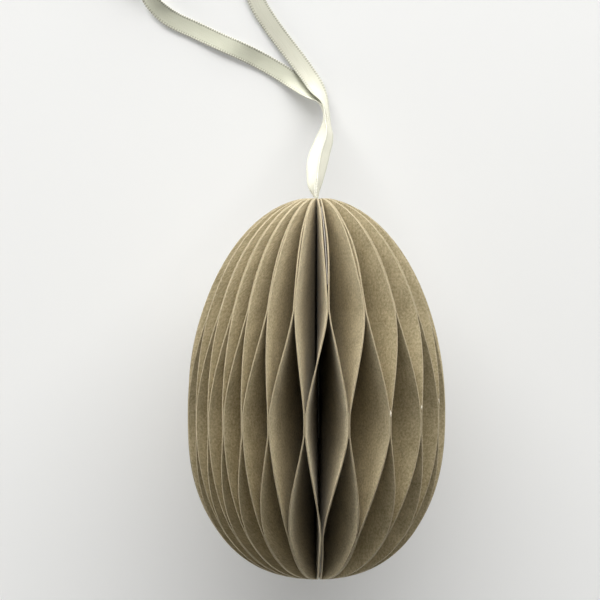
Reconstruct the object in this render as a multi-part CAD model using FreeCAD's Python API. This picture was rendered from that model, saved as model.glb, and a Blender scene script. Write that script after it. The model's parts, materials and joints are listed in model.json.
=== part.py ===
"""Folding paper egg: a hanging ornament that opens from a flat book of card sheets.

Every sheet is the same half-egg outline with a straight inner edge.  Glue lines
join the sheets in turn: two lines near the ends join one neighbour, one line
round the waist joins the other.  Two sheets glued together stay flat there and
make a leaf, so the leaves joined near the ends (even numbers) and the leaves
joined at the waist (odd numbers) alternate round the egg.  Between the glue
lines each sheet turns from one leaf to the next and leaves a diamond opening.

Each leaf hinges on its neighbour along a sheet's inner edge.  The hinge lines
stand one sheet apart, so they make the hollow core when the egg is open and a
flat spine when it is folded.

The egg lies on its side: its axis is along Y with the narrow end at +Y, the
floor is z = 0, and the origin is on the floor under the middle of its length.
Azimuths are degrees about the axis, 0 straight up and positive towards +X.
Stations are distances along the axis from the narrow end.
"""
import FreeCAD, Part
import os
from math import cos, degrees, hypot, pi, radians, sin, sqrt, tan

# ---- driving dimensions, mm and degrees --------------------------------------

# outline of the whole egg
narrow_length = 37.0        # tip of the narrow end to the widest section
blunt_length = 28.3         # widest section to the tip of the blunt end
egg_radius = 22.1
blunt_power = 2.3           # 2 would be an ellipse, more is squarer
corner_width = 0.5          # width of a sheet where its outline meets the inner edge

# card and glue
sheet_count = 48
card_thickness = 0.24
glue_film = 0.02
tape_gap = 0.26             # between the first and the last sheet
tape_clearance = 0.01       # on each face of the closing tape
tape_width = 3.0
tape_inset = 0.45           # from the outer edge of the card

# stations of the glue lines
narrow_glue_end = 19.4
waist_glue_start = 36.7
waist_glue_end = 40.0
blunt_glue_start = 57.2
narrow_tape = (2.0, 18.9)
blunt_tape = (57.8, 63.6)

# how the leaves stand round the axis
closure_start = 9.9         # azimuth of the closing leaf if all were evenly spaced
uneven_swings = [           # leaves crowd and spread: times round the egg, by how much, and
    (2, 6.2, 44.3),         # the azimuth where they are spread widest
    (3, 3.0, 14.9),
]
leaf_twist = 1.9            # each leaf's narrow end is turned this much further round than its middle
front_squeeze = 3.5         # and its narrow end leans this much towards azimuth 0
ramp_softness = 0.4         # 0: a sheet turns evenly between glue lines; 1: it starts and stops softly

facet_angle = 9.0           # step of the outline's stations, as an angle about the widest section
least_step = 0.9            # stations closer than this are merged
ramp_steps = 6              # flat facets between two glue lines

# ribbon: both ends are glued flat along the inside of the core
ribbon_width = 3.0
ribbon_thickness = 0.3
ribbon_tube_diameter = 1.1  # a round cord of about the ribbon's own section
ribbon_spacing = 1.3        # between the two strands where they leave the core
tail_length = 40.0
tail_recess = 1.0           # from the end of the sheets into the core
tail_clearance = 0.05

# middle of the loop between its two ends, x, y, z
loop_route = [
    (-0.7, 36.4, 20.2), (-0.9, 41.2, 15.2), (-0.4, 44.8, 8.6), (-0.9, 48.2, 3.0),
    (-3.9, 53.0, 0.9), (-8.9, 57.1, 0.7), (-15.6, 60.8, 0.8), (-23.2, 63.5, 0.7),
    (-29.3, 67.2, 0.7), (-33.6, 74.4, 0.8), (-36.4, 84.0, 0.7), (-35.3, 94.4, 0.8),
    (-27.6, 100.8, 0.7), (-18.2, 97.9, 0.8), (-14.0, 88.6, 0.7), (-12.6, 78.0, 0.7),
    (-10.3, 68.6, 0.7), (-6.4, 60.2, 0.8), (-2.2, 53.6, 1.2), (1.2, 48.6, 3.9),
    (1.9, 45.0, 9.6), (1.3, 41.4, 15.8), (0.9, 36.6, 20.4),
]

# ---- the ring of leaves -------------------------------------------------------

pitch = card_thickness + glue_film
core_radius = sheet_count * pitch / (2 * pi)
closing_pitch = card_thickness + tape_gap


def across(azimuth):
    """Unit step, as (x, z), round the axis at an azimuth."""
    return cos(radians(azimuth)), -sin(radians(azimuth))


def outward(azimuth):
    """Unit step, as (x, z), away from the axis at an azimuth."""
    return sin(radians(azimuth)), cos(radians(azimuth))


def even_azimuth(leaf):
    return closure_start + leaf * 360.0 / sheet_count


def leaf_azimuth(leaf):
    """Azimuth of a leaf's middle.

    The spacing swings twice and three times round the egg, which leaves the
    ring of equal hinge steps closed.  The lean makes room for the closing tape.
    """
    even = even_azimuth(leaf)
    lean = degrees(2 * (closing_pitch - pitch) / (sheet_count * pitch))
    swing = sum(size * sin(radians(times * (even - widest))) for times, size, widest in uneven_swings)
    return even + swing + lean * sin(radians(even - closure_start))


def leaf_slant(leaf):
    """How far the narrow end of a leaf is turned from its middle; the blunt end turns as far back."""
    return leaf_twist - front_squeeze * sin(radians(leaf_azimuth(leaf)))


def hinge_ring():
    """Hinge points, (x, z) about the axis, one for each sheet.

    The hinge of sheet s is one pitch round from that of sheet s - 1, across
    the leaf between them.  What the chain misses its start by is spread over it.
    """
    points = [(0.0, 0.0)]
    for leaf in range(1, sheet_count):
        x, z = points[-1]
        step_x, step_z = across(leaf_azimuth(leaf))
        points.append((x + pitch * step_x, z + pitch * step_z))
    close_x, close_z = across(leaf_azimuth(0))
    miss_x = points[-1][0] + closing_pitch * close_x - points[0][0]
    miss_z = points[-1][1] + closing_pitch * close_z - points[0][1]
    shared = [(x - miss_x * n / sheet_count, z - miss_z * n / sheet_count)
              for n, (x, z) in enumerate(points)]
    middle_x = sum(x for x, z in shared) / sheet_count
    middle_z = sum(z for x, z in shared) / sheet_count
    print(f"ring of hinges misses closing by {hypot(miss_x, miss_z):.4f} mm before it is spread")
    return [(x - middle_x, z - middle_z) for x, z in shared]


def egg_radius_at(station):
    """Radius of the egg's outline: half an ellipse, and half a squarer curve at the blunt end."""
    if station <= narrow_length:
        share = (narrow_length - station) / narrow_length
        return egg_radius * sqrt(max(0.0, 1 - share ** 2))
    share = min(1.0, (station - narrow_length) / blunt_length)
    return egg_radius * (1 - share ** blunt_power) ** (1 / blunt_power)


def sheet_width(station):
    return egg_radius_at(station) - core_radius


def outline_stations():
    """Stations of the flat facets: even in angle round the outline, with the glue lines' ends."""
    least = core_radius + corner_width
    first = narrow_length * (1 - sqrt(1 - (least / egg_radius) ** 2))
    last_share = (1 - (least / egg_radius) ** blunt_power) ** (1 / blunt_power)
    last = narrow_length + blunt_length * last_share
    ramps = [(narrow_glue_end, waist_glue_start), (waist_glue_end, blunt_glue_start)]
    kept = [first, last]
    for start, end in ramps:
        kept += [start + (end - start) * n / ramp_steps for n in range(ramp_steps + 1)]
    steps = int(90 / facet_angle)
    round_ends = [narrow_length * (1 - cos(radians(facet_angle * n))) for n in range(1, steps)]
    round_ends += [narrow_length + blunt_length * cos(radians(facet_angle * n)) for n in range(1, steps)]
    for station in sorted(round_ends):
        near_end = station < narrow_glue_end or station > blunt_glue_start
        if near_end and first < station < last:
            if min(abs(station - other) for other in kept) > least_step:
                kept.append(station)
    return sorted(kept)


def ramp(share):
    """Turn from one leaf to the next, both 0 to 1."""
    return (1 - ramp_softness) * share + ramp_softness * share ** 2 * (3 - 2 * share)


def sheet_azimuth(sheet, station):
    """Azimuth of a sheet at a station, from the two leaves that it belongs to."""
    even, odd = (sheet, sheet - 1) if sheet % 2 == 0 else (sheet - 1, sheet)
    waist = leaf_azimuth(odd)
    narrow = leaf_azimuth(even) + leaf_slant(even)
    blunt = leaf_azimuth(even) - leaf_slant(even)
    if station <= narrow_glue_end:
        return narrow
    if station < waist_glue_start:
        share = (station - narrow_glue_end) / (waist_glue_start - narrow_glue_end)
        return narrow + (waist - narrow) * ramp(share)
    if station <= waist_glue_end:
        return waist
    if station < blunt_glue_start:
        share = (station - waist_glue_end) / (blunt_glue_start - waist_glue_end)
        return waist + (blunt - waist) * ramp(share)
    return blunt


stations = outline_stations()
hinges = hinge_ring()
middle_station = (stations[0] + stations[-1]) / 2


def section(centre, azimuth, inner, outer, thickness):
    """Corners, (x, z) about the axis, of a flat strip that stands out from a point."""
    out_x, out_z = outward(azimuth)
    side_x, side_z = across(azimuth)
    corners = []
    for reach, side in ((inner, -1), (outer, -1), (outer, 1), (inner, 1)):
        offset = side * thickness / 2
        corners.append((centre[0] + reach * out_x + offset * side_x,
                        centre[1] + reach * out_z + offset * side_z))
    return corners


def sheet_sections(sheet):
    centre = hinges[sheet - 1]
    return [section(centre, sheet_azimuth(sheet, station), 0.0, sheet_width(station), card_thickness)
            for station in stations]


axis_height = -min(z for sheet in range(1, sheet_count + 1)
                   for corners in sheet_sections(sheet) for x, z in corners)


def placed(corner, station):
    """Point in the part's frame of a corner about the axis at a station."""
    return FreeCAD.Vector(corner[0], middle_station - station, corner[1] + axis_height)


def faceted_solid(sections, section_stations):
    """Closed solid of flat triangles through four-cornered sections."""
    points = [placed(corner, station)
              for corners, station in zip(sections, section_stations) for corner in corners]
    triangles = [(0, 1, 2), (0, 2, 3)]
    for n in range(len(sections) - 1):
        here, there = 4 * n, 4 * (n + 1)
        for side in range(4):
            other = (side + 1) % 4
            triangles.append((here + side, there + side, there + other))
            triangles.append((here + side, there + other, here + other))
    last = 4 * (len(sections) - 1)
    triangles += [(last + 2, last + 1, last), (last + 3, last + 2, last)]
    shape = Part.Shape()
    shape.makeShapeFromMesh((points, triangles), 1e-5)
    solid = Part.makeSolid(shape)
    if solid.Volume < 0:
        solid.reverse()
    return solid


def card_sheet(sheet):
    return faceted_solid(sheet_sections(sheet), stations)


def closing_tape(span, slant_sign):
    """Double-sided tape near the outer edge, between the last sheet and the first."""
    azimuth = leaf_azimuth(0) + slant_sign * leaf_slant(0)
    centre = tuple((a + b) / 2 for a, b in zip(hinges[0], hinges[-1]))
    along = [span[0]] + [s for s in stations if span[0] + least_step < s < span[1] - least_step] + [span[1]]
    thickness = tape_gap - 2 * tape_clearance
    sections = [section(centre, azimuth, sheet_width(s) - tape_inset - tape_width,
                        sheet_width(s) - tape_inset, thickness) for s in along]
    return faceted_solid(sections, along)


# ---- ribbon -------------------------------------------------------------------

tail_end_y = middle_station - stations[0] - tail_recess
under_tail = [z for x, z in hinges if abs(x) < ribbon_width / 2 + card_thickness and z < 0]
tail_floor = axis_height + max(under_tail) + card_thickness / 2 + tail_clearance
tail_height = tail_floor + ribbon_thickness


def ribbon_tail():
    """The ribbon's two ends, one on the other, flat along the inside of the core."""
    corner = FreeCAD.Vector(-ribbon_width / 2, tail_end_y - tail_length, tail_floor)
    return Part.makeBox(ribbon_width, tail_length, 2 * ribbon_thickness, corner)


def ribbon_route():
    start = (-ribbon_spacing / 2, tail_end_y, tail_height)
    end = (ribbon_spacing / 2, tail_end_y, tail_height)
    return [FreeCAD.Vector(*point) for point in [start, *loop_route, end]]


def rounded_path(points):
    """Straight runs joined by tangent arcs, each as large as its two runs allow."""
    edges, radii = [], []
    start = points[0]
    for before, corner, after in zip(points, points[1:], points[2:]):
        back, ahead = before - corner, after - corner
        reach = 0.45 * min(back.Length, ahead.Length)
        half_turn = (pi - back.getAngle(ahead)) / 2
        radius = reach / tan(half_turn)
        enter = corner + back.normalize() * reach
        leave = corner + ahead.normalize() * reach
        inward = (back + ahead).normalize()
        to_centre = radius / cos(half_turn)
        through = corner + inward * (to_centre - radius)
        edges.append(Part.LineSegment(start, enter).toShape())
        edges.append(Part.Arc(enter, through, leave).toShape())
        start = leave
        radii.append(radius)
    edges.append(Part.LineSegment(start, points[-1]).toShape())
    return Part.Wire(edges), radii


def ribbon_loop():
    """The free ribbon: plain round cord along its middle line."""
    points = ribbon_route()
    path, radii = rounded_path(points)
    outline = Part.makeCircle(ribbon_tube_diameter / 2, points[0], points[1] - points[0])
    tube = path.makePipeShell([Part.Wire([outline])], True, True)
    expected = pi * ribbon_tube_diameter ** 2 / 4 * path.Length
    print("ribbon radii:", " ".join(f"{r:.1f}" for r in radii))
    print(f"ribbon length {path.Length:.1f} mm, volume {tube.Volume:.1f} of {expected:.1f} mm3")
    return tube


# ---- output -------------------------------------------------------------------

def main():
    os.makedirs("parts", exist_ok=True)
    parts = {f"sheet_{sheet:02d}": card_sheet(sheet) for sheet in range(1, sheet_count + 1)}
    parts["closing_tape_narrow"] = closing_tape(narrow_tape, 1)
    parts["closing_tape_blunt"] = closing_tape(blunt_tape, -1)
    parts["ribbon_tail"] = ribbon_tail()
    parts["ribbon_loop"] = ribbon_loop()
    for name, shape in parts.items():
        if not shape.isValid() or shape.Volume <= 0:
            raise ValueError(f"{name} is not a sound solid")
        shape.exportStep(f"parts/{name}.step")
    print(f"{len(parts)} parts; axis height {axis_height:.3f} mm, core radius {core_radius:.3f} mm, "
          f"egg length {stations[-1] - stations[0]:.2f} mm, {len(stations)} stations")


if __name__ == "__main__":
    main()
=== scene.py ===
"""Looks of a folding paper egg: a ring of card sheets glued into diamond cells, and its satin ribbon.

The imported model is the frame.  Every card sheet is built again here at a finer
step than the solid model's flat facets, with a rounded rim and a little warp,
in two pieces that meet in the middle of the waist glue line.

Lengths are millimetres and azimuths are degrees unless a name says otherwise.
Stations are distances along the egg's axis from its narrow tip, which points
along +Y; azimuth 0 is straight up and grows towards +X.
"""
from __future__ import annotations

import json
import logging
from dataclasses import dataclass, field
from enum import Enum

import bpy
import numpy as np
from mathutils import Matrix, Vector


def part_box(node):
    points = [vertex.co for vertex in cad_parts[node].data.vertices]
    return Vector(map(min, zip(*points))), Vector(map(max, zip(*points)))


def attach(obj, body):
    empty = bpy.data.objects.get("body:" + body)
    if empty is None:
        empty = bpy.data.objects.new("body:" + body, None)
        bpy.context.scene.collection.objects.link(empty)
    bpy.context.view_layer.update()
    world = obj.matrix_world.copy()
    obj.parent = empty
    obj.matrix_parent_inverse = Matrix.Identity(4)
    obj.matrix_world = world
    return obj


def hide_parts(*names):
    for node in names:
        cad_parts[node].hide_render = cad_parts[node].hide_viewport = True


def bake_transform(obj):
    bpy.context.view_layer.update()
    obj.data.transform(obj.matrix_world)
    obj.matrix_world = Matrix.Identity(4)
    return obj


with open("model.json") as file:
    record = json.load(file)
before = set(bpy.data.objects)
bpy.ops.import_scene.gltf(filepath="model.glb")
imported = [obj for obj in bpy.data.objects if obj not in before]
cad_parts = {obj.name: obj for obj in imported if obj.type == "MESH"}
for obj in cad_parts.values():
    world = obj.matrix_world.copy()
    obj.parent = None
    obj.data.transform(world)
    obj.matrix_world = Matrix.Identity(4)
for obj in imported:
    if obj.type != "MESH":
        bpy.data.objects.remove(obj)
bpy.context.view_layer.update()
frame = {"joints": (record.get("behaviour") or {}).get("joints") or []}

MM = 0.001
SEED = 48
log = logging.getLogger("paper_egg")


class Slot(Enum):
    """The record's material slots."""

    CARD = "card"
    TAPE = "tape"
    RIBBON = "ribbon"


class End(Enum):
    """The two ends of the egg."""

    NARROW = "narrow"
    BLUNT = "blunt"


# ---- mesh helpers ---------------------------------------------------------------


def smooth_step(share: np.ndarray) -> np.ndarray:
    """Cubic that starts and stops level: 3 t^2 - 2 t^3 of a share held to 0 to 1."""
    t = np.clip(share, 0.0, 1.0)
    return t * t * (3.0 - 2.0 * t)


def standing_rings(middle: tuple[float, np.ndarray, float], turn: float | np.ndarray,
                   reach: np.ndarray, across: np.ndarray) -> np.ndarray:
    """Points of a strip that stands out from a line beside the egg's axis.

    A point is the line's own point, plus its reach along the azimuth and its
    offset at a right angle to it.

    Args:
        middle: x, y and z of the line, y one value for each row.
        turn: azimuth in radians, one value or one for each row as a column.
        reach: distance out, rows x columns.
        across: offset, rows x columns.

    Returns:
        The points, rows x columns x 3.
    """
    x, y, z = middle
    return np.stack([x + reach * np.sin(turn) + across * np.cos(turn),
                     np.broadcast_to(np.asarray(y)[:, None], reach.shape),
                     z + reach * np.cos(turn) - across * np.sin(turn)], axis=-1)


def bump_between(value: np.ndarray, start: float, end: float, soft: float) -> np.ndarray:
    """Window that rises over a soft width after start and falls over it before end."""
    return smooth_step((value - start) / soft) * smooth_step((end - value) / soft)


def tube_quads(rows: int, columns: int) -> tuple[np.ndarray, np.ndarray]:
    """Quads of a closed tube whose rings are symmetrical strips.

    Row i, column j is vertex i * columns + j.  Each ring closes on itself, and
    column j faces column columns - 1 - j across the strip, so the two end caps
    are quads between such pairs.

    Args:
        rows: number of rings.
        columns: vertices in a ring, an even number.

    Returns:
        The wall's quads and the caps' quads, as two integer arrays.
    """
    i, j = np.meshgrid(np.arange(rows - 1), np.arange(columns), indexing="ij")
    i, j = i.ravel(), j.ravel()
    after = (j + 1) % columns
    wall = np.stack([i * columns + j, i * columns + after,
                     (i + 1) * columns + after, (i + 1) * columns + j], axis=1)
    k = np.arange(columns // 2 - 1)
    first = np.stack([columns - 1 - k, columns - 2 - k, k + 1, k], axis=1)
    last = (rows - 1) * columns + first[:, ::-1]
    return wall, np.concatenate([first, last])


def signed_volume(points: np.ndarray, quads: np.ndarray) -> float:
    """Volume of a closed quad mesh: the sum over its triangles of a . (b x c) / 6."""
    a, b, c, d = (points[quads[:, n]] for n in range(4))
    return float((np.einsum("ij,ij->i", a, np.cross(b, c))
                  + np.einsum("ij,ij->i", a, np.cross(c, d))).sum() / 6.0)


def strip_object(name: str, rings: np.ndarray, along: np.ndarray, around: np.ndarray,
                 features: dict[str, np.ndarray]) -> bpy.types.Object:
    """Makes the mesh object of a closed strip given ring by ring.

    The UV map holds the length along the strip and the length round its
    section, both in millimetres, so a pattern follows the surface.

    Args:
        name: the piece's name.
        rings: points in millimetres, rows x columns x 3.
        along: length along the strip of each ring, rows.
        around: length round the section of each column, rows x (columns + 1),
            whose last column is the first one's again at the full length.
        features: vertex attributes by name, each rows x columns.

    Returns:
        The object, linked to the scene, with its place in its mesh.
    """
    rows, columns = rings.shape[:2]
    points = rings.reshape(-1, 3) * MM
    wall, caps = tube_quads(rows, columns)
    quads = np.concatenate([wall, caps])
    i, j = np.meshgrid(np.arange(rows - 1), np.arange(columns), indexing="ij")
    i, j = i.ravel(), j.ravel()
    corner_rows = np.stack([i, i, i + 1, i + 1], axis=1)
    corner_columns = np.stack([j, j + 1, j + 1, j], axis=1)
    wall_uv = np.stack([along[corner_rows], around[corner_rows, corner_columns]], axis=-1)
    cap_rows, cap_columns = np.divmod(caps, columns)
    cap_uv = np.stack([along[cap_rows], around[cap_rows, cap_columns]], axis=-1)
    corner_uv = np.concatenate([wall_uv, cap_uv])
    if signed_volume(points, quads) < 0.0:
        quads, corner_uv = quads[:, ::-1], corner_uv[:, ::-1]

    mesh = bpy.data.meshes.new(name)
    mesh.vertices.add(len(points))
    mesh.vertices.foreach_set("co", points.astype(np.float32).ravel())
    mesh.loops.add(quads.size)
    mesh.loops.foreach_set("vertex_index", quads.astype(np.int32).ravel())
    mesh.polygons.add(len(quads))
    mesh.polygons.foreach_set("loop_start", np.arange(0, quads.size, 4, dtype=np.int32))
    mesh.polygons.foreach_set("use_smooth", np.arange(len(quads)) < len(wall))
    mesh.update(calc_edges=True)
    ends = np.zeros(2 * len(mesh.edges), dtype=np.int32)
    mesh.edges.foreach_get("vertices", ends)
    ends = ends.reshape(-1, 2)
    on_a_cap = (ends < columns).all(axis=1) | (ends >= (rows - 1) * columns).all(axis=1)
    mesh.attributes.new("sharp_edge", "BOOLEAN", "EDGE").data.foreach_set("value", on_a_cap)
    layer = mesh.uv_layers.new(name="surface")
    layer.uv.foreach_set("vector", corner_uv.astype(np.float32).ravel())
    for key, values in features.items():
        spread = np.broadcast_to(values, (rows, columns)).astype(np.float32)
        mesh.attributes.new(key, "FLOAT", "POINT").data.foreach_set("value", spread.ravel())
    if mesh.validate():
        raise ValueError(f"{name}: the mesh had faults")
    made = bpy.data.objects.new(name, mesh)
    bpy.context.scene.collection.objects.link(made)
    return made


def lengths_round(section: np.ndarray) -> np.ndarray:
    """Running length round each ring: the sum of the distances from column to column.

    Args:
        section: offsets round each ring, rows x columns x 2.

    Returns:
        The lengths, rows x (columns + 1), whose last column closes the ring.
    """
    closed = np.concatenate([section, section[:, :1]], axis=1)
    steps = np.linalg.norm(np.diff(closed, axis=1), axis=2)
    return np.concatenate([np.zeros((len(section), 1)), np.cumsum(steps, axis=1)], axis=1)


def dress(piece: bpy.types.Object, material: bpy.types.Material) -> None:
    """Gives a piece its material."""
    piece.data.materials.append(material)


# ---- finishes -------------------------------------------------------------------


class Board:
    """The node tree of one material, with short calls to add and join nodes."""

    def __init__(self, name: str) -> None:
        """Starts a material that holds one Principled surface.

        Args:
            name: the material's name.
        """
        self.material = bpy.data.materials.new(name)
        self.material.use_nodes = True
        self.tree = self.material.node_tree
        self.surface = self.tree.nodes["Principled BSDF"]

    def add(self, kind: str, inputs: dict | None = None, **settings: object) -> bpy.types.Node:
        """Adds a node.

        Args:
            kind: the node's type name, without its ShaderNode prefix.
            inputs: values, or sockets to join, by the input's name or number.
            settings: the node's own properties.

        Returns:
            The node.
        """
        node = self.tree.nodes.new("ShaderNode" + kind)
        for key, value in settings.items():
            setattr(node, key, value)
        for key, value in (inputs or {}).items():
            self.feed(node.inputs[key], value)
        return node

    def feed(self, socket: bpy.types.NodeSocket, value: object) -> None:
        """Sets an input.

        Args:
            socket: the input.
            value: another node's output to join to it, or a plain value.
        """
        if isinstance(value, bpy.types.NodeSocket):
            self.tree.links.new(value, socket)
        else:
            socket.default_value = value

    def surface_uv(self, scale: tuple[float, float], turn: float = 0.0) -> bpy.types.NodeSocket:
        """Place on the surface, in millimetres of length, turned and then scaled.

        Args:
            scale: factors along the strip and round it, after the turn.
            turn: angle in radians.

        Returns:
            The place.
        """
        uv = self.add("UVMap", uv_map="surface")
        turned = self.add("VectorRotate", {"Vector": uv.outputs[0], "Angle": turn}, rotation_type="Z_AXIS")
        placed = self.add("Mapping", {"Vector": turned.outputs[0], "Scale": (*scale, 1.0)})
        return placed.outputs[0]

    def noise(self, place: bpy.types.NodeSocket, scale: float, detail: float = 2.0,
              rough: float = 0.5) -> bpy.types.NodeSocket:
        """Adds noise, 0 to 1.

        Args:
            place: where it is read.
            scale: its spots to a unit of the place.
            detail: finer layers in it.
            rough: weight of the finer layers.

        Returns:
            The value.
        """
        made = self.add("TexNoise", {"Vector": place, "Scale": scale, "Detail": detail, "Roughness": rough})
        return made.outputs["Fac"]

    def span(self, value: bpy.types.NodeSocket, low: float, high: float, to_low: float = 0.0,
             to_high: float = 1.0) -> bpy.types.NodeSocket:
        """Maps a span of values straight onto another, held at its ends.

        Args:
            value: the value.
            low: start of its span.
            high: end of its span.
            to_low: what the start becomes.
            to_high: what the end becomes.

        Returns:
            The mapped value.
        """
        made = self.add("MapRange", {"Value": value, "From Min": low, "From Max": high,
                                     "To Min": to_low, "To Max": to_high})
        return made.outputs[0]

    def math(self, operation: str, first: object, second: object = 0.0) -> bpy.types.NodeSocket:
        """One arithmetic step."""
        return self.add("Math", {0: first, 1: second}, operation=operation).outputs[0]

    def mix(self, share: object, first: object, second: object, blend: str = "MIX") -> bpy.types.NodeSocket:
        """Mixes two colours; share 0 gives the first."""
        made = self.add("Mix", {0: share, 6: first, 7: second}, data_type="RGBA", blend_type=blend)
        return made.outputs[2]

    def attribute(self, name: str) -> bpy.types.NodeSocket:
        """A piece's own vertex attribute."""
        return self.add("Attribute", attribute_name=name).outputs["Fac"]

    def bump(self, height: bpy.types.NodeSocket, depth: float, strength: float) -> None:
        """Bump on the surface, its depth in metres."""
        made = self.add("Bump", {"Height": height, "Distance": depth, "Strength": strength})
        self.feed(self.surface.inputs["Normal"], made.outputs[0])


@dataclass(frozen=True)
class CardFinish:
    """Recycled card: fine fibres pressed flat, with a colour of its own on the cut rims; in this default it
    is darker than the face, as painted shade that holds down the light the rims catch.
    """

    body: tuple[float, float, float, float] = (0.590, 0.518, 0.362, 1.0)
    shade: tuple[float, float, float, float] = (0.310, 0.262, 0.158, 1.0)
    light_fibre: tuple[float, float, float, float] = (0.660, 0.580, 0.420, 1.0)
    dark_fibre: tuple[float, float, float, float] = (0.190, 0.155, 0.090, 1.0)
    # rim colour: darker than the face, painted shade that holds down the light falling on the rims
    rim_colour: tuple[float, float, float, float] = (0.330, 0.284, 0.196, 1.0)
    roughness: float = 0.92
    specular: float = 0.30
    sheen: float = 0.20
    cloud_scale: float = 0.32
    grain_scale: float = 2.3
    fibre_turns: tuple[float, float, float] = (0.35, 1.45, 2.55)
    fibre_scale: tuple[float, float] = (0.55, 4.2)
    hair_scale: tuple[float, float] = (0.9, 6.5)
    hair_turn: float = 0.9
    relief_depth_m: float = 0.00004

    def material(self) -> bpy.types.Material:
        """Makes the material.

        Cloudy patches of a few millimetres, a felt of long fibres in three
        directions and a fine grain shift the colour, and the same fibres and
        grain raise the surface.

        Returns:
            The material.
        """
        board = Board("pressed_card")
        plain = board.surface_uv((1.0, 1.0))
        cloud = board.noise(plain, self.cloud_scale, 3.0, 0.6)
        grain = board.noise(plain, self.grain_scale, 3.0, 0.7)
        felt = None
        for turn in self.fibre_turns:
            fibres = board.noise(board.surface_uv(self.fibre_scale, turn), 1.0, 2.0, 0.6)
            felt = fibres if felt is None else board.math("MAXIMUM", felt, fibres)
        tone = board.math("ADD", board.span(cloud, 0.3, 0.7, -0.25, 0.25), board.attribute("tone"))
        tone = board.math("ADD", tone, board.span(grain, 0.32, 0.68, 0.0, 1.0))
        colour = board.mix(board.span(tone, 0.0, 1.0, 0.0, 0.85), self.body, self.shade)
        colour = board.mix(board.span(felt, 0.62, 0.76, 0.0, 0.55), colour, self.light_fibre)
        hairs = board.noise(board.surface_uv(self.hair_scale, self.hair_turn), 1.0, 1.0, 0.4)
        colour = board.mix(board.span(hairs, 0.70, 0.80, 0.0, 0.45), colour, self.dark_fibre)
        # painted shade: the rims take the darker rim colour, 75 to 100 per cent by the grain
        rim_mix = board.math("MULTIPLY", board.attribute("rim"), board.span(grain, 0.2, 0.6, 0.75, 1.0))
        colour = board.mix(rim_mix, colour, self.rim_colour)
        board.feed(board.surface.inputs["Base Color"], colour)
        board.surface.inputs["Roughness"].default_value = self.roughness
        board.surface.inputs["Specular IOR Level"].default_value = self.specular
        board.surface.inputs["Sheen Weight"].default_value = self.sheen
        relief = board.math("ADD", board.math("MULTIPLY", grain, 0.6), felt)
        board.bump(relief, self.relief_depth_m, 0.55)
        return board.material


@dataclass(frozen=True)
class TapeFinish:
    """Double-sided tape: a grey, faintly mottled film."""

    body: tuple[float, float, float, float] = (0.270, 0.245, 0.215, 1.0)
    mottle: tuple[float, float, float, float] = (0.350, 0.320, 0.290, 1.0)
    roughness: float = 0.55
    spot_stretch: tuple[float, float] = (0.8, 2.2)
    relief_depth_m: float = 0.00003

    def material(self) -> bpy.types.Material:
        """Makes the material: two greys mixed by a noise that is stretched along the tape.

        Returns:
            The material.
        """
        board = Board("closing_tape")
        spots = board.noise(board.surface_uv(self.spot_stretch), 1.4, 3.0, 0.6)
        board.feed(board.surface.inputs["Base Color"],
                   board.mix(board.span(spots, 0.35, 0.65), self.body, self.mottle))
        board.surface.inputs["Roughness"].default_value = self.roughness
        board.bump(spots, self.relief_depth_m, 0.4)
        return board.material


@dataclass(frozen=True)
class SatinFinish:
    """Cream satin ribbon: glossy floats on its face, a duller back, woven edges with small loops."""

    face: tuple[float, float, float, float] = (0.630, 0.622, 0.540, 1.0)
    back: tuple[float, float, float, float] = (0.640, 0.645, 0.545, 1.0)
    thread_shade: tuple[float, float, float, float] = (0.440, 0.432, 0.340, 1.0)
    selvage: tuple[float, float, float, float] = (0.600, 0.592, 0.515, 1.0)
    # painted shade: the dark colour of the small gaps between the edge loops
    gap_shade: tuple[float, float, float, float] = (0.330, 0.325, 0.265, 1.0)
    loop_step: float = 0.45
    rib_step: float = 0.21
    gap_shade_share: float = 0.65
    specular: float = 0.32
    sheen: float = 0.10
    anisotropy: float = 0.4
    thread_scale: tuple[float, float] = (0.35, 9.0)
    relief_depth_m: float = 0.00004

    def material(self) -> bpy.types.Material:
        """Makes the material.

        Fine ribs run across the ribbon: the sine of the length along it over
        the rib step.  Along each edge a row of dark spots between the loops is
        painted shade for the small gaps there: the sine over the loop step, kept
        to a narrow band by the piece's own edge attribute.

        Returns:
            The material.
        """
        board = Board("cream_satin")
        uv = board.add("SeparateXYZ", {0: board.surface_uv((1.0, 1.0))})
        along = uv.outputs[0]
        ribs = board.math("SINE", board.math("MULTIPLY", along, 2.0 * np.pi / self.rib_step))
        loops = board.math("SINE", board.math("MULTIPLY", along, 2.0 * np.pi / self.loop_step))
        threads = board.noise(board.surface_uv(self.thread_scale), 1.0, 2.0, 0.6)
        sides = board.mix(board.attribute("satin_side"), self.back, self.face)
        colour = board.mix(board.span(threads, 0.35, 0.75, 0.0, 0.35), sides, self.thread_shade)
        colour = board.mix(board.span(ribs, -1.0, 1.0, 0.0, 0.14), colour, self.thread_shade)
        edge = board.attribute("edge")
        colour = board.mix(board.span(edge, 0.55, 0.8), colour, self.selvage)
        # painted shade in the gaps between the edge loops, on a narrow band near each edge
        band = board.math("MULTIPLY", board.span(edge, 0.28, 0.42), board.span(edge, 0.97, 0.85))
        gap_shades = board.math("MULTIPLY", board.span(loops, -0.1, 0.4), band)
        colour = board.mix(board.math("MULTIPLY", gap_shades, self.gap_shade_share), colour, self.gap_shade)
        board.feed(board.surface.inputs["Base Color"], colour)
        gloss = board.span(edge, 0.3, 0.6, 0.55, 0.70)
        uneven = board.span(threads, 0.3, 0.7, 0.0, 0.1)
        board.feed(board.surface.inputs["Roughness"], board.math("ADD", gloss, uneven))
        board.surface.inputs["Specular IOR Level"].default_value = self.specular
        board.surface.inputs["Sheen Weight"].default_value = self.sheen
        board.surface.inputs["Anisotropic"].default_value = self.anisotropy
        relief = board.math("ADD", board.math("MULTIPLY", ribs, 0.25), threads)
        relief = board.math("SUBTRACT", relief, board.math("MULTIPLY", gap_shades, 2.0))
        board.bump(relief, self.relief_depth_m, 0.5)
        return board.material


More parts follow.
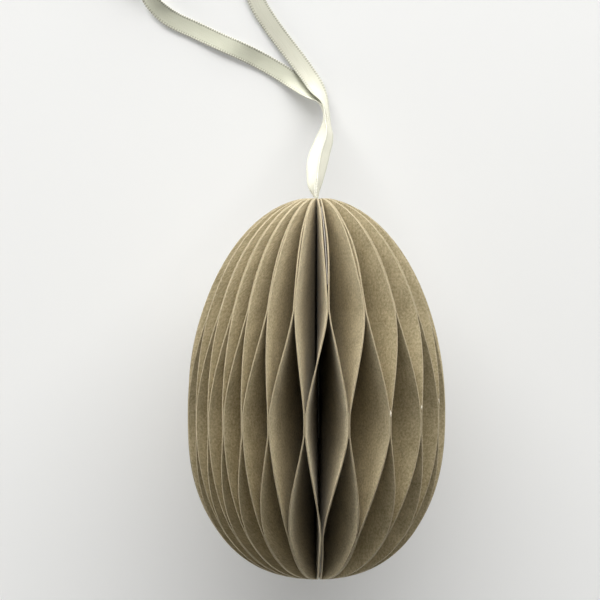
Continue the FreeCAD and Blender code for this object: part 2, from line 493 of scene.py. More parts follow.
@dataclass(frozen=True)
class TableFinish:
    """Pale painted table top with a barely uneven coat."""

    body: tuple[float, float, float, float] = (0.590, 0.590, 0.584, 1.0)
    patch: tuple[float, float, float, float] = (0.579, 0.579, 0.573, 1.0)
    # glow: painted light given off by the table top itself
    glow: float = 0.235
    glow_colour: tuple[float, float, float, float] = (1.0, 1.0, 0.992, 1.0)
    roughness: float = 0.95
    specular: float = 0.05

    def material(self) -> bpy.types.Material:
        """Makes the material.

        Two close whites are mixed by a wide noise, a fine noise gives a faint
        orange-peel bump, and a slight glow lifts the shade.

        Returns:
            The material.
        """
        board = Board("pale_table")
        place = board.add("TexCoord").outputs["Object"]
        board.feed(board.surface.inputs["Base Color"],
                   board.mix(board.noise(place, 9.0, 3.0), self.body, self.patch))
        board.surface.inputs["Roughness"].default_value = self.roughness
        # painted light: the table top glows a little, lifting the shadows on it
        board.surface.inputs["Emission Color"].default_value = self.glow_colour
        board.surface.inputs["Emission Strength"].default_value = self.glow
        board.surface.inputs["Specular IOR Level"].default_value = self.specular
        board.bump(board.noise(place, 900.0), 0.00005, 0.06)
        return board.material


# ---- the egg of card ------------------------------------------------------------


@dataclass
class LeafRing:
    """Where every leaf and sheet of the egg stands.

    The formulas and sizes are the solid model's, but for a slightly sharper
    turn of the sheets beside their glue lines.
    """

    narrow_length: float = 37.0
    blunt_length: float = 28.3
    egg_radius: float = 22.1
    blunt_power: float = 2.3
    corner_width: float = 0.5
    sheet_count: int = 48
    card_thickness: float = 0.24
    glue_film: float = 0.02
    tape_gap: float = 0.26
    narrow_glue_end: float = 19.4
    waist_glue_start: float = 36.7
    waist_glue_end: float = 40.0
    blunt_glue_start: float = 57.2
    closure_start: float = 9.9
    uneven_swings: tuple[tuple[int, float, float], ...] = ((2, 6.2, 44.3), (3, 3.0, 14.9))
    leaf_twist: float = 1.9
    front_squeeze: float = 3.5
    ramp_softness: float = 0.35
    hinges: np.ndarray = field(init=False)
    axis_height: float = field(init=False)
    core_radius: float = field(init=False)
    first_station: float = field(init=False)
    last_station: float = field(init=False)
    middle_station: float = field(init=False)

    def __post_init__(self) -> None:
        """Reads the hinge points from the frame's joints and works out where the sheets end."""
        places = {joint["name"]: joint["pos_m"] for joint in frame["joints"]}
        names = [f"fold_{sheet:02d}" for sheet in range(1, self.sheet_count + 1)]
        points = np.array([places[name] for name in names])[:, [0, 2]] / MM
        self.axis_height = float(points[:, 1].mean())
        self.hinges = points
        self.core_radius = self.sheet_count * (self.card_thickness + self.glue_film) / (2.0 * np.pi)
        least = (self.core_radius + self.corner_width) / self.egg_radius
        self.first_station = self.narrow_length * (1.0 - np.sqrt(1.0 - least ** 2))
        blunt_share = (1.0 - least ** self.blunt_power) ** (1.0 / self.blunt_power)
        self.last_station = self.narrow_length + self.blunt_length * blunt_share
        self.middle_station = (self.first_station + self.last_station) / 2.0

    def egg_radius_at(self, station: np.ndarray) -> np.ndarray:
        """Radius of the outline: half an ellipse, then a squarer half curve at the blunt end.

        Args:
            station: distances from the narrow tip.

        Returns:
            The radii.
        """
        ahead = np.clip((self.narrow_length - station) / self.narrow_length, 0.0, 1.0)
        behind = np.clip((station - self.narrow_length) / self.blunt_length, 0.0, 1.0)
        narrow = np.sqrt(1.0 - ahead ** 2)
        blunt = (1.0 - behind ** self.blunt_power) ** (1.0 / self.blunt_power)
        return self.egg_radius * np.where(station <= self.narrow_length, narrow, blunt)

    def leaf_azimuth(self, leaf: int) -> float:
        """Azimuth of a leaf's middle: even spacing, two swings round the egg, and a lean for the tape.

        Args:
            leaf: the leaf's number.

        Returns:
            The azimuth.
        """
        even = self.closure_start + leaf * 360.0 / self.sheet_count
        pitch = self.card_thickness + self.glue_film
        spare = self.card_thickness + self.tape_gap - pitch
        lean = np.degrees(2.0 * spare / (self.sheet_count * pitch))
        swing = sum(size * np.sin(np.radians(times * (even - widest)))
                    for times, size, widest in self.uneven_swings)
        return even + swing + lean * np.sin(np.radians(even - self.closure_start))

    def leaf_slant(self, leaf: int) -> float:
        """How far a leaf's narrow end is turned from its middle; its blunt end turns as far back."""
        return self.leaf_twist - self.front_squeeze * np.sin(np.radians(self.leaf_azimuth(leaf)))

    def turn_share(self, station: np.ndarray) -> np.ndarray:
        """How far a sheet has turned from its even leaf, 0, to its odd leaf, 1.

        The share of the way between the glue lines, part straight and part as
        a smooth step.

        Args:
            station: distances from the narrow tip.

        Returns:
            The shares.
        """
        narrow = (station - self.narrow_glue_end) / (self.waist_glue_start - self.narrow_glue_end)
        blunt = (self.blunt_glue_start - station) / (self.blunt_glue_start - self.waist_glue_end)
        share = np.clip(np.minimum(narrow, blunt), 0.0, 1.0)
        return (1.0 - self.ramp_softness) * share + self.ramp_softness * smooth_step(share)

    def leaves_of(self, sheet: int) -> tuple[int, int]:
        """The even leaf and the odd leaf that a sheet belongs to."""
        return (sheet, sheet - 1) if sheet % 2 == 0 else (sheet - 1, sheet)

    def sheet_azimuth(self, sheet: int, station: np.ndarray) -> np.ndarray:
        """Azimuth of a sheet: from its even leaf's end to its odd leaf's waist, by the turn share.

        Args:
            sheet: the sheet's number.
            station: distances from the narrow tip.

        Returns:
            The azimuths.
        """
        even, odd = self.leaves_of(sheet)
        slant = self.leaf_slant(even)
        toward_blunt = station > (self.waist_glue_start + self.waist_glue_end) / 2.0
        start = self.leaf_azimuth(even) + np.where(toward_blunt, -slant, slant)
        return start + (self.leaf_azimuth(odd) - start) * self.turn_share(station)


@dataclass
class CardEgg:
    """The forty-eight card sheets, each in a narrow and a blunt piece."""

    ring: LeafRing
    finish: CardFinish = field(default_factory=CardFinish)
    face_shares: tuple[float, ...] = (0.0, 0.1, 0.22, 0.35, 0.48, 0.61, 0.73, 0.84, 0.93)
    rim_angles: tuple[float, ...] = (-70.0, -42.0, -14.0, 14.0, 42.0, 70.0)
    rim_depth: float = 0.07
    rim_support: float = 0.09
    warp: float = 0.07
    outline_shift: float = 0.05
    closure_leaf: int = 0
    closure_gape: float = 0.16
    gaping: dict[int, float] = field(default_factory=lambda: {
        2: 0.10, 3: 0.24, 4: 0.08, 5: 0.08, 6: 0.06, 7: 0.06, 44: 0.05, 45: 0.05, 46: 0.07, 47: 0.07})
    wave_sizes: np.ndarray = field(init=False)
    wave_counts: np.ndarray = field(init=False)
    wave_starts: np.ndarray = field(init=False)
    outline_errors: np.ndarray = field(init=False)
    tones: np.ndarray = field(init=False)
    gapes: np.ndarray = field(init=False)

    def __post_init__(self) -> None:
        """Draws each leaf's own waves and each sheet's own outline error and tone."""
        draw = np.random.default_rng(SEED)
        count = self.ring.sheet_count
        self.wave_sizes = draw.uniform(0.3, 1.0, (count, 3)) / 2.0
        self.wave_counts = draw.uniform((0.6, 1.6, 2.8), (1.4, 2.6, 4.4), (count, 3))
        self.wave_starts = draw.uniform(0.0, 1.0, (count, 3))
        self.outline_errors = draw.uniform(-1.0, 1.0, (count + 1, 3))
        self.tones = draw.uniform(-0.14, 0.14, count + 1)
        self.gapes = draw.uniform(0.01, 0.05, count)

    def stations(self, end: End) -> np.ndarray:
        """Stations of a piece's rings: by even angles round the tip, crowded at the glue line's bend.

        Args:
            end: which piece.

        Returns:
            The stations, rising.
        """
        ring = self.ring
        seam = (ring.waist_glue_start + ring.waist_glue_end) / 2.0
        if end is End.NARROW:
            tip, bend, waist = ring.first_station, ring.narrow_glue_end, ring.waist_glue_start
        else:
            tip, bend, waist = ring.last_station, ring.blunt_glue_start, ring.waist_glue_end
        quarter = np.linspace(0.0, np.pi / 2.0, 15)
        cap = tip + (bend - tip) * (1.0 - np.cos(quarter))
        around_bend = bend + np.array([-0.4, -0.1, 0.1, 0.4])
        ramp = bend + (waist - bend) * np.linspace(0.08, 1.0, 15)
        sorted_ones = np.unique(np.round(np.concatenate([cap, around_bend, ramp, [seam]]), 5))
        return sorted_ones[np.concatenate([[True], np.diff(sorted_ones) > 0.012])]

    def leaf_warp(self, leaf: int, station: np.ndarray) -> np.ndarray:
        """How far a leaf's outer edge strays: three sines along the axis, with drawn sizes and starts.

        Args:
            leaf: the leaf's number.
            station: distances from the narrow tip.

        Returns:
            The offsets.
        """
        n = leaf % self.ring.sheet_count
        turns = self.wave_counts[n] * (station[:, None] / self.ring.last_station) + self.wave_starts[n]
        return self.warp * (self.wave_sizes[n] * np.sin(2.0 * np.pi * turns)).sum(axis=1)

    def gape(self, sheet: int, station: np.ndarray) -> np.ndarray:
        """How far a sheet's outer edge stands off its glued neighbour's, towards its own side.

        Near each end of the egg the pair may gape past its glue.  The closing
        pair has the tape between it, and comes together where the tape ends.

        Args:
            sheet: the sheet's number.
            station: distances from the narrow tip.

        Returns:
            The offsets.
        """
        ring = self.ring
        even, _ = ring.leaves_of(sheet)
        side = -1.0 if sheet == even else 1.0
        n = even % ring.sheet_count
        narrow, blunt = ring.narrow_glue_end, ring.blunt_glue_start
        if n == self.closure_leaf:
            spare = (ring.tape_gap - ring.glue_film) / 2.0
            meeting = (bump_between(station, narrow - 5.5, narrow + 6.0, 4.5)
                       + bump_between(station, blunt - 6.0, blunt + 4.0, 3.5))
            opened = self.closure_gape * bump_between(station, 1.5, narrow - 4.0, 6.0) - spare * meeting
        else:
            size = self.gaping.get(sheet, self.gapes[n])
            opened = (size * bump_between(station, 2.5, narrow - 3.0, 5.5)
                      + 0.5 * self.gapes[n] * bump_between(station, blunt + 1.0, ring.last_station, 3.0))
        return side * opened

    def section(self, width: np.ndarray) -> tuple[np.ndarray, np.ndarray, np.ndarray]:
        """Offsets round a strip's section.

        Both faces are straight and the outer rim is a flat half oval, so the
        loop runs out along one face, round the rim and back along the other.

        Args:
            width: the strip's width at each ring.

        Returns:
            Reach from the hinge and offset across the card, rows x columns, and
            how much of each column is rim, 0 or 1.
        """
        half = self.ring.card_thickness / 2.0
        flat = width - self.rim_depth
        support = flat - np.minimum(self.rim_support, 0.1 * flat)
        out = support[:, None] * np.array(self.face_shares + (1.0,))
        out = np.concatenate([out, flat[:, None]], axis=1)
        angles = np.radians(self.rim_angles)
        round_rim = flat[:, None] + self.rim_depth * np.sqrt(np.cos(angles))
        rim_side = half * np.sign(angles) * np.abs(np.sin(angles)) ** 0.6
        reach = np.concatenate([out, round_rim, out[:, ::-1]], axis=1)
        side = np.concatenate([np.full(out.shape[1], -half), rim_side, np.full(out.shape[1], half)])
        rim = np.concatenate([np.zeros(out.shape[1]), np.sqrt(np.cos(angles)), np.zeros(out.shape[1])])
        return reach, np.broadcast_to(side, reach.shape), rim

    def piece(self, sheet: int, end: End) -> bpy.types.Object:
        """Builds one piece of a sheet.

        A point stands its reach out from the sheet's hinge along the sheet's
        azimuth, and its offset, the leaves' warp and the gape across it.  Warp
        and gape grow as the square and the fourth power of the share of the width.

        Args:
            sheet: the sheet's number.
            end: which piece.

        Returns:
            The object.
        """
        ring = self.ring
        station = self.stations(end)
        error = self.outline_errors[sheet]
        wobble = error[0] + error[1] * np.sin(2.0 * np.pi * (station / ring.last_station + error[2]))
        full = ring.egg_radius_at(station) - ring.core_radius
        width = full + self.outline_shift * np.minimum(1.0, full / 4.0) * (wobble - 1.0)
        reach, side, rim = self.section(width)
        share = reach / width[:, None]
        even, odd = ring.leaves_of(sheet)
        turned = ring.turn_share(station)
        stray = (1.0 - turned) * self.leaf_warp(even, station) + turned * self.leaf_warp(odd, station)
        stray = stray * np.minimum(1.0, full / 12.0)
        across = side + stray[:, None] * share ** 2 + self.gape(sheet, station)[:, None] * share ** 4
        azimuth = np.radians(ring.sheet_azimuth(sheet, station))[:, None]
        hinge_x, hinge_z = ring.hinges[sheet - 1]
        rings = standing_rings((hinge_x, ring.middle_station - station, hinge_z), azimuth, reach, across)
        around = lengths_round(np.stack([reach, side], axis=-1))
        return strip_object(f"card_{sheet:02d}_{end.value}", rings, station + 3.7 * (sheet % 17),
                            around + 41.0 * (sheet % 7),
                            {"rim": rim, "tone": np.array(self.tones[sheet])})

    def bend(self, piece: bpy.types.Object, sheet: int, end: End) -> None:
        """Bakes a piece's place into its mesh, after looking up its sheet's even and odd leaf.

        Args:
            piece: the piece.
            sheet: its sheet's number.
            end: which piece of the sheet it is; not used.
        """
        ring = self.ring
        even, odd = ring.leaves_of(sheet)
        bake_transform(piece)

    def build(self) -> None:
        """Builds and dresses every piece, hides the frame's sheet, and bakes the piece's place into its mesh.
        """
        material = self.finish.material()
        for sheet in range(1, self.ring.sheet_count + 1):
            for end in End:
                piece = self.piece(sheet, end)
                dress(piece, material)
                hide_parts(f"sheet_{sheet:02d}")
                self.bend(piece, sheet, end)
            log.info("sheet %02d: leaves %s", sheet, self.ring.leaves_of(sheet))


@dataclass
class ClosingTape:
    """Double-sided tape between the first and the last sheet, near their outer edges."""

    ring: LeafRing
    finish: TapeFinish = field(default_factory=TapeFinish)
    width: float = 3.0
    inset: float = 0.22
    thickness: float = 0.17
    waver: float = 0.05
    waver_turn: float = 2.3
    spans: dict[End, tuple[float, float]] = field(
        default_factory=lambda: {End.NARROW: (1.8, 15.0), End.BLUNT: (58.4, 63.6)})

    def piece(self, end: End) -> bpy.types.Object:
        """Builds one length of tape: a flat strip whose outer edge follows the outline with a small waver.

        Args:
            end: which end of the egg it is at.

        Returns:
            The object.
        """
        ring = self.ring
        station = np.linspace(*self.spans[end], 36)
        waver = self.waver * np.sin(station * self.waver_turn)
        outer = ring.egg_radius_at(station) - ring.core_radius - self.inset - waver
        inner = np.maximum(outer - self.width, 0.15 * outer)
        slant = ring.leaf_slant(0) * (1.0 if end is End.NARROW else -1.0)
        azimuth = np.radians(ring.leaf_azimuth(0) + slant)
        shares = np.concatenate([np.linspace(0.0, 1.0, 7), np.linspace(1.0, 0.0, 7)])
        side = np.repeat([-0.5, 0.5], 7) * self.thickness
        reach = inner[:, None] + (outer - inner)[:, None] * shares
        across = np.broadcast_to(side, reach.shape)
        middle_x, middle_z = (ring.hinges[0] + ring.hinges[-1]) / 2.0
        rings = standing_rings((middle_x, ring.middle_station - station, middle_z), azimuth, reach, across)
        around = lengths_round(np.stack([reach, across], axis=-1))
        return strip_object(f"tape_{end.value}", rings, station, around, {})

    def build(self) -> None:
        """Builds both lengths and hangs them on the last leaf."""
        material = self.finish.material()
        for end in End:
            piece = self.piece(end)
            dress(piece, material)
            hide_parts(f"closing_tape_{end.value}")
            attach(piece, f"leaf_{self.ring.sheet_count:02d}")
            log.info("closing tape, %s end", end.value)


@dataclass
class TornFlakes:
    """Small pale flakes of torn card and glue on the rims of the waist's glued pairs."""

    ring: LeafRing
    finish: CardFinish = field(default_factory=lambda: CardFinish(
        body=(0.680, 0.640, 0.540, 1.0), shade=(0.520, 0.470, 0.360, 1.0), rim_colour=(0.720, 0.680, 0.580, 1.0)))
    places: tuple[tuple[float, float, float], ...] = ((34.3, 36.4, 1.1), (51.4, 35.5, 0.7), (70.7, 34.6, 0.8))
    half_width: float = 0.16
    half_height: float = 0.07

    def piece(self, number: int, azimuth: float, station: float,
              length: float) -> tuple[bpy.types.Object, int]:
        """Builds one flake.

        A short closed strip that narrows to both its ends as a sine, lying
        along the rim of the glued pair nearest to an azimuth.

        Args:
            number: the flake's number, which also draws its waver.
            azimuth: where it is looked for, degrees.
            station: its middle along the axis.
            length: its length.

        Returns:
            The object and the leaf it sits on.
        """
        ring = self.ring
        leaves = np.arange(1, ring.sheet_count, 2)
        turns = np.array([ring.leaf_azimuth(int(leaf)) for leaf in leaves])
        leaf = int(leaves[np.argmin(np.abs((turns - azimuth + 180.0) % 360.0 - 180.0))])
        draw = np.random.default_rng(SEED + number)
        share = np.linspace(0.0, 1.0, 9)
        taper = 0.15 + 0.85 * np.sin(np.pi * np.clip(share, 0.02, 0.98))
        waver = draw.uniform(-0.09, 0.09, share.size)
        places = station + length * (share - 0.5)
        angles = np.radians(np.arange(8) * 45.0 + 22.5)
        across = waver[:, None] + self.half_width * taper[:, None] * np.cos(angles)
        outer = ring.egg_radius_at(places) - ring.core_radius - 0.02
        reach = outer[:, None] + self.half_height * taper[:, None] * np.sin(angles)
        turn = np.radians(ring.leaf_azimuth(leaf))
        middle_x, middle_z = (ring.hinges[leaf - 1] + ring.hinges[leaf]) / 2.0
        rings = standing_rings((middle_x, ring.middle_station - places, middle_z), turn, reach, across)
        around = lengths_round(np.stack([across, reach], axis=-1))
        made = strip_object(f"flake_{number}", rings, places, around,
                            {"rim": np.array(0.8), "tone": np.array(0.0)})
        return made, leaf

    def build(self) -> None:
        """Builds every flake and hangs it on its leaf."""
        material = self.finish.material()
        for number, (azimuth, station, length) in enumerate(self.places, start=1):
            piece, leaf = self.piece(number, azimuth, station, length)
            dress(piece, material)
            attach(piece, f"leaf_{leaf:02d}")
            log.info("flake %d on leaf %02d", number, leaf)


# ---- the ribbon -----------------------------------------------------------------


@dataclass
class SatinRibbon:
    """Flat satin ribbon: its free loop on the table, and its two ends glued in the core.

    Each point of the route is x, y, z and the ribbon's roll: 0 lies flat with
    the satin face up, 90 stands on edge, 180 lies on its face.
    """

    ring: LeafRing
    finish: SatinFinish = field(default_factory=SatinFinish)
    width: float = 3.0
    thickness: float = 0.16
    length_m: float = 0.187
    loop_step: float = 0.45
    rings_per_loop: int = 5
    tail_length: float = 40.0
    tail_recess: float = 1.0
    tail_turn_length: float = 12.0
    curl: float = 0.05
    edge_growth: float = 0.07
    roll_reach: int = 18
    tail_half_gap: float = 0.13
    exit_height: float = 22.0
    route: tuple[tuple[float, float, float, float], ...] = (
        (-0.13, 31.4, 22.00, 90.0), (-0.14, 33.2, 21.60, 94.0), (-0.58, 35.7, 18.40, 50.0),
        (-0.50, 39.6, 12.60, 42.0), (0.95, 43.6, 8.00, 50.0), (1.60, 46.8, 5.00, 72.0),
        (1.15, 49.6, 2.60, 98.0), (-1.20, 52.0, 1.20, 140.0), (-5.00, 54.9, 0.45, 178.0),
        (-9.40, 57.5, 0.35, 182.0), (-12.8, 59.2, 0.95, 190.0), (-16.8, 60.9, 0.45, 174.0),
        (-21.8, 63.3, 0.35, 180.0), (-26.0, 65.1, 0.60, 186.0), (-29.4, 68.2, 1.30, 215.0),
        (-33.4, 74.4, 1.70, 270.0), (-36.0, 84.0, 1.40, 330.0), (-35.0, 93.8, 0.70, 360.0),
        (-27.6, 99.8, 0.50, 360.0), (-18.6, 97.2, 0.50, 360.0), (-14.6, 88.4, 0.45, 360.0),
        (-13.4, 78.0, 0.45, 360.0), (-10.9, 68.6, 0.50, 360.0), (-7.90, 63.9, 0.50, 357.0),
        (-5.00, 60.1, 0.50, 362.0), (-2.50, 56.8, 0.75, 366.0), (0.00, 53.2, 1.50, 380.0),
        (1.75, 49.9, 3.10, 432.0), (2.20, 46.8, 5.60, 436.0), (2.60, 43.8, 8.80, 426.0),
        (1.55, 40.2, 13.0, 418.0), (0.70, 36.4, 17.9, 426.0), (0.20, 34.0, 21.4, 444.0),
        (0.13, 31.4, 22.00, 450.0),
    )

    def smooth_line(self) -> np.ndarray:
        """Reads the points of the route's own NURBS spline.

        Returns:
            The points, in millimetres.
        """
        curve = bpy.data.curves.new("ribbon_line", "CURVE")
        curve.dimensions = "3D"
        spline = curve.splines.new("NURBS")
        spline.points.add(len(self.route) - 1)
        for point, (x, y, z, _) in zip(spline.points, self.route):
            point.co = (x * MM, y * MM, z * MM, 1.0)
        spline.order_u = 3
        spline.use_endpoint_u = True
        spline.resolution_u = 24
        holder = bpy.data.objects.new("ribbon_line", curve)
        bpy.context.scene.collection.objects.link(holder)
        bpy.context.view_layer.update()
        line = bpy.data.meshes.new_from_object(holder.evaluated_get(bpy.context.evaluated_depsgraph_get()))
        flat = np.zeros(3 * len(line.vertices))
        line.vertices.foreach_get("co", flat)
        bpy.data.objects.remove(holder)
        bpy.data.curves.remove(curve)
        bpy.data.meshes.remove(line)
        return flat.reshape(-1, 3) / MM

    def even_steps(self, line: np.ndarray, step: float) -> tuple[np.ndarray, np.ndarray]:
        """Takes points at even lengths along a line.

        Args:
            line: the line's points.
            step: the length between two points.

        Returns:
            The points, and the length along the line of each.
        """
        lengths = np.concatenate([[0.0], np.cumsum(np.linalg.norm(np.diff(line, axis=0), axis=1))])
        wanted = np.linspace(0.0, lengths[-1], int(lengths[-1] / step) + 1)
        return np.stack([np.interp(wanted, lengths, line[:, k]) for k in range(3)], axis=1), wanted

    def rolls_along(self, points: np.ndarray, lengths: np.ndarray) -> np.ndarray:
        """Roll at each point: each route point's roll at the nearest length, joined by soft steps.

        Args:
            points: points along the ribbon.
            lengths: their lengths along it.

        Returns:
            The rolls, in degrees.
        """
        places = np.array([point[:3] for point in self.route])
        nearest = [int(np.argmin(np.linalg.norm(points - place, axis=1))) for place in places]
        nearest[0], nearest[-1] = 0, len(points) - 1
        rolls = np.interp(lengths, lengths[nearest], [point[3] for point in self.route])
        window = np.hanning(2 * self.roll_reach + 1)
        padded = np.pad(rolls, self.roll_reach, mode="edge")
        return np.convolve(padded, window / window.sum(), mode="valid")

    def section(self, lengths: np.ndarray) -> tuple[np.ndarray, np.ndarray, np.ndarray]:
        """Offsets round the ribbon's section.

        The section is a thin strip with a bead along each edge.  The bead's
        outline swells once every loop step, for the small loops of the weave.

        Args:
            lengths: length along the ribbon of each ring.

        Returns:
            Offset across, offset off the face, both rows x columns, and how near
            each column is to an edge, 0 to 1.
        """
        half = self.width / 2.0
        shares = np.array([-1.0, -0.97, -0.93, -0.88, -0.82, -0.72, -0.5, -0.25, 0.0,
                           0.25, 0.5, 0.72, 0.82, 0.88, 0.93, 0.97, 1.0])
        bead = np.exp(-((np.abs(shares) - 0.9) / 0.05) ** 2)
        tip = np.abs(shares) > 0.99
        off = self.thickness / 2.0 * (1.0 + 0.5 * bead) * np.where(tip, 0.45, 1.0)
        swell = 0.5 + 0.5 * np.sin(2.0 * np.pi * lengths / self.loop_step)
        growth = 1.0 + self.edge_growth * swell[:, None] * (np.abs(shares) > 0.9)
        across = half * shares * growth
        edge = np.clip((np.abs(shares) - 0.6) / 0.4, 0.0, 1.0)
        return (np.concatenate([across, across[:, ::-1]], axis=1),
                np.broadcast_to(np.concatenate([off, -off[::-1]]), (len(lengths), 2 * len(shares))),
                np.concatenate([edge, edge]))

    def strip(self, name: str, points: np.ndarray, lengths: np.ndarray,
              rolls: np.ndarray) -> bpy.types.Object:
        """Carries the section along a line.

        The level direction across is the tangent times the upright; the roll
        turns it, and the face's own direction, about the tangent.

        Args:
            name: the piece's name.
            points: the middle line.
            lengths: length along it.
            rolls: roll at each point, in degrees.

        Returns:
            The object.
        """
        tangent = np.gradient(points, axis=0)
        tangent /= np.linalg.norm(tangent, axis=1)[:, None]
        level = np.cross(tangent, (0.0, 0.0, 1.0))
        level /= np.linalg.norm(level, axis=1)[:, None]
        upright = np.cross(level, tangent)
        turn = np.radians(rolls)[:, None]
        wide = np.cos(turn) * level + np.sin(turn) * upright
        face = np.cos(turn) * upright - np.sin(turn) * level
        across, off, edge = self.section(lengths)
        curl = self.curl * (across / (self.width / 2.0)) ** 2
        rings = (points[:, None, :] + across[:, :, None] * wide[:, None, :]
                 + (off - curl)[:, :, None] * face[:, None, :])
        half = across.shape[1] // 2
        side = np.concatenate([np.ones(half), np.zeros(half)])
        around = lengths_round(np.stack([across, off], axis=-1))
        return strip_object(name, rings, lengths, around, {"edge": edge, "satin_side": side})

    def build_loop(self, material: bpy.types.Material) -> None:
        """Builds the free loop, lifted where its lower edge would go under the table.

        Args:
            material: the satin.
        """
        points, lengths = self.even_steps(self.smooth_line(), self.loop_step / self.rings_per_loop)
        rolls = self.rolls_along(points, lengths)
        least = self.width / 2.0 * np.abs(np.sin(np.radians(rolls))) + self.thickness
        points[:, 2] = np.maximum(points[:, 2], least)
        piece = self.strip("satin_loop", points, lengths, rolls)
        dress(piece, material)
        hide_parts("ribbon_loop")
        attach(piece, "leaf_24")
        log.info("ribbon loop: %.1f mm long", lengths[-1])

    def build_tails(self, material: bpy.types.Material) -> None:
        """Builds the two ends inside the core: flat on its wall, then turning on edge to leave it.

        Args:
            material: the satin.
        """
        ring = self.ring
        mouth = ring.middle_station - ring.first_station - self.tail_recess
        low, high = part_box("ribbon_tail")
        flat_height = (low[2] + high[2]) / 2.0 / MM
        y = np.arange(mouth - self.tail_length, mouth, self.loop_step / self.rings_per_loop)
        turned = smooth_step((y - mouth + self.tail_turn_length) / self.tail_turn_length)
        roll = 90.0 * turned
        for name, side in (("satin_end_left", -1.0), ("satin_end_right", 1.0)):
            x = self.tail_half_gap * side * np.sin(np.radians(roll))
            z = (flat_height + (self.exit_height - flat_height) * turned
                 - self.tail_half_gap * side * np.cos(np.radians(roll)))
            piece = self.strip(name, np.stack([x, y, z], axis=1), y - y[0], roll)
            dress(piece, material)
            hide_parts("ribbon_tail")
            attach(piece, "leaf_24")
            log.info("ribbon end: %s", name)

    def build(self) -> None:
        """Builds the loop first and then the two ends."""
        material = self.finish.material()
        self.build_loop(material)
        self.build_tails(material)


# ---- surroundings ---------------------------------------------------------------


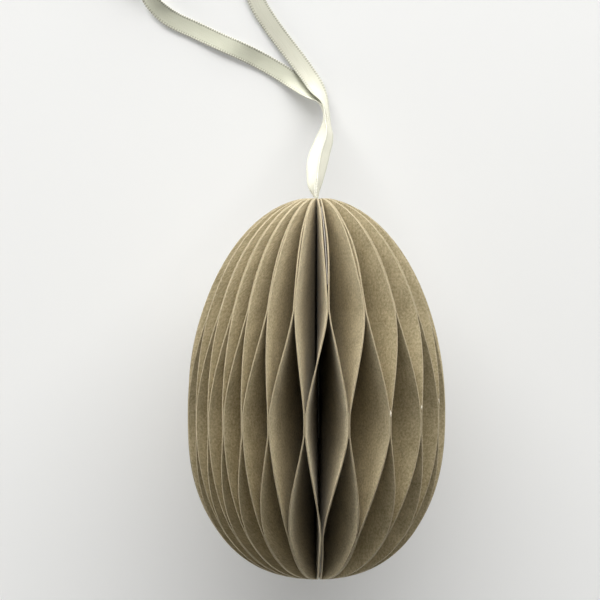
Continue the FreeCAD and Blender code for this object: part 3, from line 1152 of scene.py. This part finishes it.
@dataclass
class Surroundings:
    """Camera, table and light."""

    eye_height_m: float = 0.60
    middle_height_m: float = 0.02205
    view_width_m: float = 0.10274
    eye_x_m: float = -0.00277
    eye_y_m: float = 0.01515
    table_side_m: float = 6.0
    table_cells: int = 8
    window_aim_m: tuple[float, float, float] = (0.0, 0.0, 0.02)
    window_place_m: tuple[float, float, float] = (0.08, 0.90, 0.70)
    window_size_m: tuple[float, float] = (2.2, 0.6)
    window_watts: float = 25.2
    window_colour: tuple[float, float, float] = (1.0, 1.0, 0.995)
    sky_by_height: tuple[float, float, float, float] = (0.05, 0.50, 3.60, 0.03)
    sky_by_side: tuple[float, float, float, float] = (-1.0, 1.0, 0.40, 1.60)
    sky_brightest: tuple[float, float, float] = (-0.6, 0.8, 0.0)
    sky_colour: tuple[float, float, float, float] = (1.0, 1.0, 0.99, 1.0)
    view_gamma: float = 0.82
    table: TableFinish = field(default_factory=TableFinish)

    def camera(self) -> None:
        """Places the camera straight above, its lens set so that the view's width is met at mid height."""
        data = bpy.data.cameras.new("eye")
        data.sensor_width = 36.0
        data.lens = data.sensor_width * (self.eye_height_m - self.middle_height_m) / self.view_width_m
        eye = bpy.data.objects.new("eye", data)
        eye.location = (self.eye_x_m, self.eye_y_m, self.eye_height_m)
        bpy.context.scene.collection.objects.link(eye)
        bpy.context.scene.camera = eye

    def floor(self) -> None:
        """A wide square table top, as a fine enough grid for its own material."""
        lines = self.table_cells + 1
        side = np.linspace(-0.5, 0.5, lines) * self.table_side_m
        x, y = np.meshgrid(side, side, indexing="ij")
        points = np.stack([x.ravel(), y.ravel(), np.zeros(x.size)], axis=1)
        i, j = np.meshgrid(np.arange(lines - 1), np.arange(lines - 1), indexing="ij")
        corner = (i * lines + j).ravel()
        quads = np.stack([corner, corner + lines, corner + lines + 1, corner + 1], axis=1)
        mesh = bpy.data.meshes.new("table_top")
        mesh.from_pydata(points.tolist(), [], quads.tolist())
        mesh.materials.append(self.table.material())
        top = bpy.data.objects.new("table_top", mesh)
        bpy.context.scene.collection.objects.link(top)

    def window(self) -> None:
        """Hangs a broad soft window of light beyond the narrow end, facing the egg's middle."""
        data = bpy.data.lights.new("window", "AREA")
        data.shape = "RECTANGLE"
        data.size, data.size_y = self.window_size_m
        data.energy = self.window_watts
        data.color = self.window_colour
        light = bpy.data.objects.new("window", data)
        light.location = self.window_place_m
        away = np.array(self.window_aim_m) - np.array(self.window_place_m)
        flat = float(np.hypot(away[0], away[1]))
        light.rotation_euler = (float(np.arctan2(flat, -away[2])), 0.0, float(np.arctan2(-away[0], away[1])))
        bpy.context.scene.collection.objects.link(light)

    def sky(self) -> None:
        """Lights the room from all round: bright low down on one side, and dark overhead.

        The strength is one straight map of the height of the direction looked
        in, times another of how far it faces the brightest side.
        """
        world = bpy.data.worlds.new("room")
        world.use_nodes = True
        tree = world.node_tree
        place = tree.nodes.new("ShaderNodeTexCoord")
        parts = tree.nodes.new("ShaderNodeSeparateXYZ")
        facing = tree.nodes.new("ShaderNodeVectorMath")
        facing.operation = "DOT_PRODUCT"
        facing.inputs[1].default_value = self.sky_brightest
        height = tree.nodes.new("ShaderNodeMapRange")
        side = tree.nodes.new("ShaderNodeMapRange")
        both = tree.nodes.new("ShaderNodeMath")
        both.operation = "MULTIPLY"
        for node, values in ((height, self.sky_by_height), (side, self.sky_by_side)):
            for key, value in zip(("From Min", "From Max", "To Min", "To Max"), values):
                node.inputs[key].default_value = value
        back = tree.nodes["Background"]
        back.inputs["Color"].default_value = self.sky_colour
        for output, socket in ((place.outputs["Generated"], parts.inputs[0]),
                               (parts.outputs["Z"], height.inputs["Value"]),
                               (place.outputs["Generated"], facing.inputs[0]),
                               (facing.outputs["Value"], side.inputs["Value"]),
                               (height.outputs[0], both.inputs[0]), (side.outputs[0], both.inputs[1]),
                               (both.outputs[0], back.inputs["Strength"])):
            tree.links.new(output, socket)
        bpy.context.scene.world = world

    def develop(self) -> None:
        """Sets how the picture's tones are shown."""
        bpy.context.scene.view_settings.view_transform = "Standard"
        bpy.context.scene.view_settings.gamma = self.view_gamma


def main() -> None:
    """Builds the camera and the ribbon first, then the card, the tape and the surroundings."""
    logging.basicConfig(level=logging.INFO, format="%(name)s: %(message)s")
    surroundings = Surroundings()
    surroundings.camera()
    ring = LeafRing()
    SatinRibbon(ring).build()
    CardEgg(ring).build()
    ClosingTape(ring).build()
    TornFlakes(ring).build()
    surroundings.floor()
    surroundings.window()
    surroundings.sky()
    surroundings.develop()


if __name__ == "__main__":
    main()
